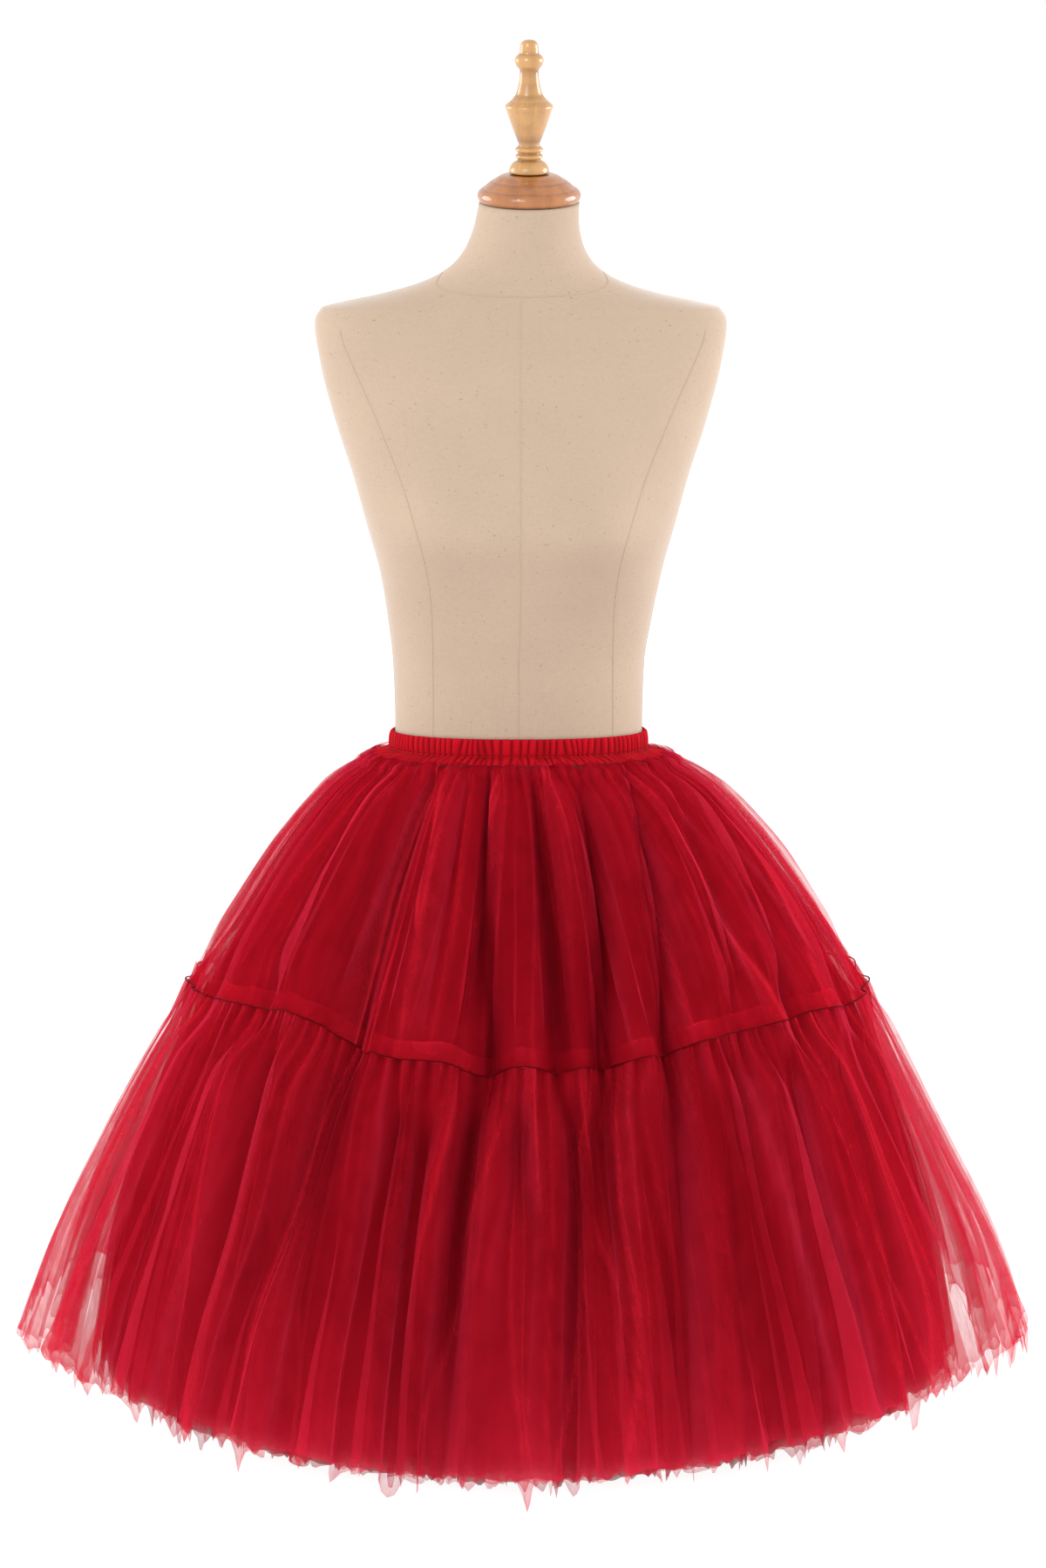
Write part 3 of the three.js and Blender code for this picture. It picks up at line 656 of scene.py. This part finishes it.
class SkirtSettings(bpy.types.PropertyGroup):
    """Colours and covers that the skirt and its form are made with."""

    tulle_light: bpy.props.FloatVectorProperty(
        name="Net in light", description="Colour of one layer of net", subtype="COLOR",
        default=(0.58, 0.0095, 0.026), min=0, max=1,
    )
    tulle_body: bpy.props.FloatVectorProperty(
        name="Stacked net", description="Colour of the dense inner layers", subtype="COLOR",
        default=(0.26, 0.0022, 0.0062), min=0, max=1,
    )
    # painted shade colour deep in the folds of the net; the tier seam's thread is also sewn in this colour
    fold_shade_and_thread: bpy.props.FloatVectorProperty(
        name="Net in folds", description="Colour deep in the folds", subtype="COLOR",
        default=(0.1, 0.0008, 0.0024), min=0, max=1,
    )
    band_red: bpy.props.FloatVectorProperty(
        name="Waistband", description="Colour of the woven waistband", subtype="COLOR",
        default=(0.47, 0.004, 0.012), min=0, max=1,
    )
    linen: bpy.props.FloatVectorProperty(
        name="Linen", description="Colour of the form's cover", subtype="COLOR",
        default=(0.5, 0.375, 0.28), min=0, max=1,
    )
    net_cover: bpy.props.FloatProperty(
        name="Net cover", description="How much one layer of net hides what is behind it", subtype="FACTOR",
        default=0.28, min=0.05, max=0.9,
    )
    key_power: bpy.props.FloatProperty(
        name="Key light", description="Power of the main soft light", unit="POWER", default=40, min=0, max=1000,
    )


class SkirtOperator:
    """What every step of the skirt shares."""

    bl_options = {"REGISTER", "UNDO"}

    @classmethod
    def poll(cls, context):
        return context.scene is not None

    def execute(self, context):
        self.build(context.scene.tulle_skirt)
        return {"FINISHED"}


class SKIRT_OT_dress_form(SkirtOperator, bpy.types.Operator):
    """Covers the dress form in seamed linen"""

    bl_idname = "skirt.dress_form"
    bl_label = "Dress Form"

    def build(self, settings):
        light = tuple(settings.linen)
        linen = linen_finish("linen", light, tuple(0.8 * part for part in light), (0.2, 0.13, 0.08))
        heights = np.concatenate([
            np.linspace(385, 600, 24, endpoint=False), np.linspace(600, 970, 74, endpoint=False),
            np.linspace(970, 1040, 46, endpoint=False), np.linspace(1040, NECK_TOP, 14),
        ])
        turns = np.arange(200) / 200
        points = torso_points(turns[None, :], heights[:, None])
        cover = ring_sheet("form_cover", points, linen)
        self.close(cover, points)
        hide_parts("torso")
        seam = woven_finish("linen_seam", tuple(1.05 * part for part in light), tuple(0.75 * part for part in light))
        tubes("form_seams", self.seam_lines(), 0.36, seam)

    def close(self, cover, points):
        """Adds the underside and the top, each as a flat fan of its ring."""
        mesh = cover.data
        count = len(mesh.vertices)
        mesh.vertices.add(2)
        for index, ring in ((count, points[0]), (count + 1, points[-1])):
            mesh.vertices[index].co = ring.mean(axis=0) * MM
        columns, first = points.shape[1], len(mesh.polygons)
        start, last = len(mesh.loops), (points.shape[0] - 1) * columns
        mesh.loops.add(6 * columns)
        mesh.polygons.add(2 * columns)
        corners = []
        for i in range(columns):
            j = (i + 1) % columns
            corners += [count, i, j, count + 1, last + j, last + i]
        for offset, corner in enumerate(corners):
            mesh.loops[start + offset].vertex_index = corner
        for i in range(2 * columns):
            mesh.polygons[first + i].loop_start = start + 3 * i
        mesh.update(calc_edges=True)

    def seam_lines(self):
        """Where the cover's panels join: middle front and back, sides, princess lines and the neck."""
        heights = np.linspace(389, 1080, 160)
        body = heights[heights < 974]
        chest = heights[heights < 1001]
        lines = [torso_points(np.full_like(level, turn), level, 0.1)
                 for turn, level in ((0.25, chest), (0.75, heights), (0.0, body), (0.5, body))]
        places = [(385, 104), (500, 88), (624, 81), (672, 81), (726, 82), (774, 88), (826, 103), (887, 127), (967, 164)]
        table = np.array(places, float)
        for side in (-1, 1):
            for back in (False, True):
                away = smooth_table(table[:, 0], table[:, 1:], body)[:, 0] * (0.9 if back else 1)
                lines.append(self.line_at(body, side * away, back))
        turns = np.linspace(0.03, 0.47, 70)
        around = 1001 + 24 * (1 - frontness(turns))
        lines.append(torso_points(turns, around, 0.1))
        return lines

    def line_at(self, heights, across, back):
        """A line down the form at a distance from its middle."""
        turns = np.linspace(0.5, 1, 400) if back else np.linspace(0, 0.5, 400)
        found = []
        for height, place in zip(heights, across):
            ring = torso_points(turns, np.full_like(turns, height))
            found.append(turns[np.argmin(np.abs(ring[:, 0] - place))])
        found = np.convolve(np.pad(found, 4, mode="edge"), np.ones(9) / 9, mode="valid")
        return torso_points(found, heights, 0.1)


class SKIRT_OT_neck_pieces(SkirtOperator, bpy.types.Operator):
    """Turns the neck cap and the finial"""

    bl_idname = "skirt.neck_pieces"
    bl_label = "Neck Cap and Finial"

    def build(self, settings):
        cap = wood_finish("cap_wood", (0.42, 0.145, 0.03), (0.12, 0.03, 0.006))
        finial = wood_finish("finial_wood", (0.54, 0.28, 0.085), (0.2, 0.075, 0.018))
        self.turned("neck_cap_turned", CAP_PROFILE, 0, cap, "dark_wood", "neck_cap")
        self.turned("finial_turned", FINIAL_PROFILE, FINIAL_FOOT, finial, "pale_wood", "finial")

    def turned(self, name, profile, foot, finish, slot, node):
        outline = np.array(profile, float)
        for _ in range(2):
            first, second = outline[:-1], outline[1:]
            near, far = lerp(first, second, 0.2), lerp(first, second, 0.8)
            outline = np.vstack([outline[:1], np.stack([near, far], axis=1).reshape(-1, 2), outline[-1:]])
        outline[0, 0] = outline[-1, 0] = 0.05
        # painted shade in the turned grooves, from where the profile curves inward
        slope = np.gradient(np.gradient(outline[:, 0]))
        painted_groove_shade = np.clip(slope * 1.2, 0, 1)
        painted_groove_shade = np.maximum(painted_groove_shade, 0.6 * np.convolve(np.pad(painted_groove_shade, 2, mode="edge"), np.ones(5) / 5, mode="valid"))
        turn = np.arange(96) / 96
        x = outline[:, :1] * np.cos(TURN * turn)
        y = outline[:, :1] * np.sin(TURN * turn)
        z = np.broadcast_to(outline[:, 1:] + foot, x.shape)
        lean_y = y * math.cos(NECK_LEAN) - z * math.sin(NECK_LEAN) - 8
        lean_z = y * math.sin(NECK_LEAN) + z * math.cos(NECK_LEAN) + NECK_TOP + 0.3
        points = np.stack([x + 5.5, lean_y, lean_z], axis=-1)[::-1]
        marks = {"shade": np.broadcast_to(painted_groove_shade[::-1, None], x.shape)}
        made = ring_sheet(name, points, finish, marks)
        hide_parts(node)


class SKIRT_OT_stand(SkirtOperator, bpy.types.Operator):
    """Finishes the stand's steel and the torso's wooden plate"""

    bl_idname = "skirt.stand"
    bl_label = "Stand"

    def build(self, settings):
        steel = metal_finish("brushed_steel", (0.62, 0.62, 0.6))
        plate = wood_finish("plate_wood", (0.4, 0.17, 0.06), (0.16, 0.06, 0.02), 0.4)
        for node, finish in (("stand_base", steel), ("pole", steel), ("torso_plate", plate)):
            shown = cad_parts[node]
            for place in shown.material_slots:
                place.material = finish


class SKIRT_OT_waistband(SkirtOperator, bpy.types.Operator):
    """Sews the gathered waistband and the strip that the net hangs from"""

    bl_idname = "skirt.waistband"
    bl_label = "Waistband"

    def build(self, settings):
        red = tuple(settings.band_red)
        # the darker band colour is painted shade in the ruffles' valleys, and random weave tone
        cloth = woven_finish("band_cloth", red, tuple(0.32 * part for part in red))
        thread = woven_finish("band_thread", tuple(0.6 * part for part in red), tuple(0.3 * part for part in red))
        casing = self.casing(cloth)
        yoke = self.yoke(cloth)
        stitches = self.stitches(thread)
        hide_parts("waistband")
        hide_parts("yoke")

    def gathers(self, turn, height):
        """Rounded ruffles with sharp valleys, that wander a little from top to bottom."""
        phase = RUCHES * turn + 0.5 * uneven(turn, 3.1, (5, 9, 16)) + 0.14 * uneven(turn, 5.2, (23, 31))
        phase = phase + 0.2 * (height - 596) / 8 * uneven(turn, 1.9, (11, 19, 27))
        tall = 0.85 + 0.25 * uneven(turn, 7.7, (13, 29, 41))
        return np.abs(np.sin(math.pi * phase)) ** 0.75 * tall

    def casing(self, finish):
        profile = np.array([
            (0.6, 588.8, 0), (0.5, 596, 0), (0.6, 602.4, 0.05), (1.4, 604, 0.3), (2.9, 604.4, 0.6), (4.1, 603.6, 0.8),
            (4.7, 602, 1), (5.0, 599.5, 1), (5.1, 596.5, 1), (5.0, 593.5, 1), (4.7, 591.2, 0.9), (4.1, 589.6, 0.5),
            (4.3, 588.4, 0.6),
        ])
        turn = np.arange(BAND_COLUMNS)[None, :] / BAND_COLUMNS
        out, height, loose = (profile[:, i:i + 1] for i in range(3))
        ruffle = self.gathers(turn, height)
        out = out + 2.3 * loose * (ruffle - 0.65)
        level = height + BAND_TILT * frontness(turn) + 0.8 * (ruffle - 0.6) * loose * (height > 601)
        points = torso_points(turn, level, out)
        # painted shade in the valleys of the ruffles
        marks = {"shade": np.clip(1.15 - 1.5 * ruffle, 0, 1) * np.clip(loose, 0.1, 1)}
        return ring_sheet("waist_casing", points, finish, marks)

    def yoke(self, finish):
        turn = np.arange(BAND_COLUMNS)[None, :] / BAND_COLUMNS
        drop = np.linspace(0, 1, 9)[:, None]
        ruffle = self.gathers(turn, 588)
        fine = np.abs(np.sin(math.pi * (139 * turn + 0.6 * uneven(turn, 4.4, (7, 12, 25)))))
        mixed = lerp(ruffle, fine, drop)
        height = 588.2 - 5.4 * drop**1.3 + BAND_TILT * frontness(turn) + (0.4 + 1.6 * drop) * (mixed - 0.6)
        out = 4.2 + 14.2 * drop + 1.7 * (mixed - 0.6)
        # painted shade in the valleys of the gathers
        marks = {"shade": np.clip(1.25 - 1.4 * mixed, 0, 1)}
        return ring_sheet("yoke_strip", torso_points(turn, height, out), finish, marks)

    def stitches(self, finish):
        lines = []
        count = 236
        for i in range(count):
            turn = (i + np.linspace(0.12, 0.78, 4)) / count
            ruffle = self.gathers(turn, 590)
            height = 590 + BAND_TILT * frontness(turn)
            lines.append(torso_points(turn, height, 4.5 + 1.1 * (ruffle - 0.55)))
        return tubes("waist_stitches", lines, 0.3, finish, sides=5)


class SKIRT_OT_upper_tier(SkirtOperator, bpy.types.Operator):
    """Hangs the upper tier's layers of net from the waistband"""

    bl_idname = "skirt.upper_tier"
    bl_label = "Upper Tier"

    def build(self, settings):
        light, body, deep = (tuple(c) for c in (settings.tulle_light, settings.tulle_body, settings.fold_shade_and_thread))
        # The second colour of each net is painted shade for its folds and the middle of the front and back; the inner
        # and outer nets take a darker copy of the lit net colour for it.
        shaded_net = tuple(0.45 * part for part in light)
        finishes = [
            body_finish("stacked_net", body, deep),
            net_finish("middle_net", tuple(lerp(np.array(body), np.array(light), 0.4)), body, 0.42, 0.3),
            net_finish("inner_net", light, shaded_net, settings.net_cover, 0.5),
            net_finish("outer_net", light, shaded_net, 1.2 * settings.net_cover, 0.6),
        ]
        cuts = [(1.7, 0.29), (1.9, 0.29), (2.0, 0.29), (2.0, 0.29)]
        for layer, finish, cut in zip(UPPER_LAYERS, finishes, cuts):
            points, marks = hang(layer, UPPER_DENSE, UPPER_SHEER, UPPER_FOLDS, True)
            net = ring_sheet(layer.name, points, finish, marks)
        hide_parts("upper_tier_inner_front", "upper_tier_inner_back")
        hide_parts("upper_tier_outer_front", "upper_tier_outer_back")


class SKIRT_OT_lower_tier(SkirtOperator, bpy.types.Operator):
    """Hangs the lower tier's layers of net, with a raw hem, from the tier seam"""

    bl_idname = "skirt.lower_tier"
    bl_label = "Lower Tier"

    def build(self, settings):
        found = bpy.data.materials
        body = body_finish("hemmed_net", tuple(settings.tulle_body), tuple(settings.fold_shade_and_thread), True)
        finishes = [body] + [found[name] for name in ("middle_net", "inner_net", "outer_net")]
        cuts = [(2.9, 0.36), (3.2, 0.37), (3.4, 0.37), (3.4, 0.37)]
        for layer, finish, cut in zip(LOWER_LAYERS, finishes, cuts):
            points, marks = hang(layer, LOWER_DENSE, LOWER_SHEER, LOWER_FOLDS, False)
            net = ring_sheet(layer.name, points, finish, marks)
        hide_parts("lower_tier_inner_front", "lower_tier_inner_back")
        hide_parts("lower_tier_outer_front", "lower_tier_outer_back")


class SKIRT_OT_tier_seam(SkirtOperator, bpy.types.Operator):
    """Sews the seam between the tiers and turns its allowance up inside the upper one"""

    bl_idname = "skirt.tier_seam"
    bl_label = "Tier Seam"

    def build(self, settings):
        light, deep = tuple(settings.tulle_light), tuple(settings.fold_shade_and_thread)
        folded = net_finish("seam_net", light, tuple(settings.tulle_body), 0.3, 0.5)
        thread = woven_finish("seam_thread", deep, tuple(0.7 * part for part in deep))
        turn = np.arange(1440)[None, :] / 1440
        up = np.linspace(0, 1, 6)[:, None]
        allowance = self.band(turn, up)
        patches = np.clip(0.45 + 0.8 * uneven(turn, 6.1, (9, 14, 22, 33)), 0, 1)
        _, _, trough = main_folds(UPPER_FOLDS, turn, np.ones_like(turn))
        # a painted highlight, with denser net, along the allowance's folded top edge, and painted shade in the fold
        # troughs
        marks = {"crease": 0.2 * np.exp(-((up - 0.97) / 0.05) ** 2) * patches, "panel": patches * (1 - trough) + 0 * up,
                 "shade": 0.1 + 0.6 * trough + 0 * up}
        strip = ring_sheet("seam_allowance", allowance[::-1], folded, {k: v[::-1] for k, v in marks.items()})
        line = self.band(turn, np.zeros((1, 1)), 2.4)[0]
        stitched = tubes("seam_stitching", [line], 0.65, thread, ring=True)
        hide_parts("tier_seam_allowance")

    def band(self, turn, up, proud=-1.2):
        """Points on the seam, and up from it along the inside of the upper tier."""
        outer = np.array(UPPER_SHEER[-1], float)
        above = np.array(UPPER_SHEER[-2], float)
        share = 0.15 * up
        height, wide, deep, aside, power = (lerp(outer[:, None, None], above[:, None, None], share))
        offset = seam_out(turn) + proud + 0.8 * up * uneven(turn, 3.3, (31, 47))
        x, y = on_section(wide, deep, power, turn, aside)
        length = np.hypot(x, y)
        front = frontness(turn)
        edge = 1.2 * up * uneven(turn, 2.2, (19, 33, 58))
        rise = -SEAM_SAG * front**2 + seam_lift(turn) + 0.45 * offset + 5 * up + edge
        x, y = x * (1 + offset / length), y * (1 + offset / length)
        return np.stack([x, y, height + rise], axis=-1)


class SKIRT_OT_stage(SkirtOperator, bpy.types.Operator):
    """Lays a plain pale floor, and sets soft lights and the camera"""

    bl_idname = "skirt.stage"
    bl_label = "Floor, Lights and Camera"

    def build(self, settings):
        scene = bpy.context.scene
        scene.view_settings.view_transform = "Standard"
        scene.cycles.transparent_max_bounces = 40
        scene.cycles.max_bounces = 4
        scene.cycles.diffuse_bounces = 1
        scene.cycles.glossy_bounces = 2
        self.floor()
        world = bpy.data.worlds.new("studio")
        scene.world = world
        world.use_nodes = True
        sky = world.node_tree.nodes["Background"]
        sky.inputs["Color"].default_value = (1, 1, 1, 1)
        sky.inputs["Strength"].default_value = 1.0
        self.softbox("key_light", (-1.5, -3.4, 2.7), (0, 0, 0.6), 2.2, settings.key_power)
        self.softbox("right_light", (2.7, 0.7, 1.4), (0.1, 0, 0.65), 1.8, 1.5 * settings.key_power)
        self.softbox("left_light", (-2.7, 0.9, 1.4), (-0.1, 0, 0.65), 1.8, 1.0 * settings.key_power)
        self.softbox("sparkle_light", (-1.3, -2.8, 3.0), (0, 0, 0.8), 0.3, 0.35 * settings.key_power)
        lens = bpy.data.cameras.new("camera")
        lens.sensor_width, lens.lens, lens.clip_end = 36, 101.56, 500
        camera = bpy.data.objects.new("camera", lens)
        camera.location = (0, -4.0, 1.237)
        camera.rotation_euler = (math.radians(90 - 9.7), 0, 0)
        scene.collection.objects.link(camera)
        scene.camera = camera

    def floor(self):
        finish = Finish("pale_floor")
        clouds = finish.noise(3, 2.0)
        material = finish.surface({
            "Base Color": finish.blend((0.34, 0.34, 0.34), (0.31, 0.31, 0.31), clouds),
            "Roughness": 0.9,
            "Specular IOR Level": 0.05,
            "Emission Color": (1, 1, 1, 1),
            "Emission Strength": 0.93,
        })
        side = 200 / MM
        corners = [(-side, -side, 0), (side, -side, 0), (side, side, 0), (-side, side, 0)]
        mesh = bpy.data.meshes.new("floor")
        mesh.from_pydata([tuple(MM * value for value in corner) for corner in corners], [], [(0, 1, 2, 3)])
        mesh.materials.append(material)
        floor = bpy.data.objects.new("floor", mesh)
        bpy.context.scene.collection.objects.link(floor)

    def softbox(self, name, place, aim, size, power):
        lamp = bpy.data.lights.new(name, "AREA")
        lamp.shape, lamp.size, lamp.energy = "DISK", size, power
        box = bpy.data.objects.new(name, lamp)
        box.location = place
        direction = np.array(aim) - np.array(place)
        flat = math.hypot(direction[0], direction[1])
        box.rotation_euler = (math.atan2(flat, -direction[2]), 0, math.atan2(direction[1], direction[0]) - math.pi / 2)
        bpy.context.scene.collection.objects.link(box)


class SKIRT_PT_panel(bpy.types.Panel):
    """The skirt's steps and settings"""

    bl_label = "Tulle Skirt"
    bl_idname = "SKIRT_PT_panel"
    bl_space_type = "VIEW_3D"
    bl_region_type = "UI"
    bl_category = "Tulle Skirt"

    def draw(self, context):
        for name in SkirtSettings.__annotations__:
            self.layout.prop(context.scene.tulle_skirt, name)
        for step in STEPS:
            self.layout.operator(step.bl_idname)


STEPS = (
    SKIRT_OT_stage, SKIRT_OT_dress_form, SKIRT_OT_neck_pieces, SKIRT_OT_stand, SKIRT_OT_waistband,
    SKIRT_OT_upper_tier, SKIRT_OT_lower_tier, SKIRT_OT_tier_seam,
)


def register():
    for kind in (SkirtSettings, *STEPS, SKIRT_PT_panel):
        bpy.utils.register_class(kind)
    bpy.types.Scene.tulle_skirt = bpy.props.PointerProperty(type=SkirtSettings)


def unregister():
    del bpy.types.Scene.tulle_skirt
    for kind in (SKIRT_PT_panel, *reversed(STEPS), SkirtSettings):
        bpy.utils.unregister_class(kind)


def main():
    register()
    for step in STEPS:
        group, name = step.bl_idname.split(".")
        getattr(getattr(bpy.ops, group), name)()
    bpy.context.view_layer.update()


if __name__ == "__main__":
    main()
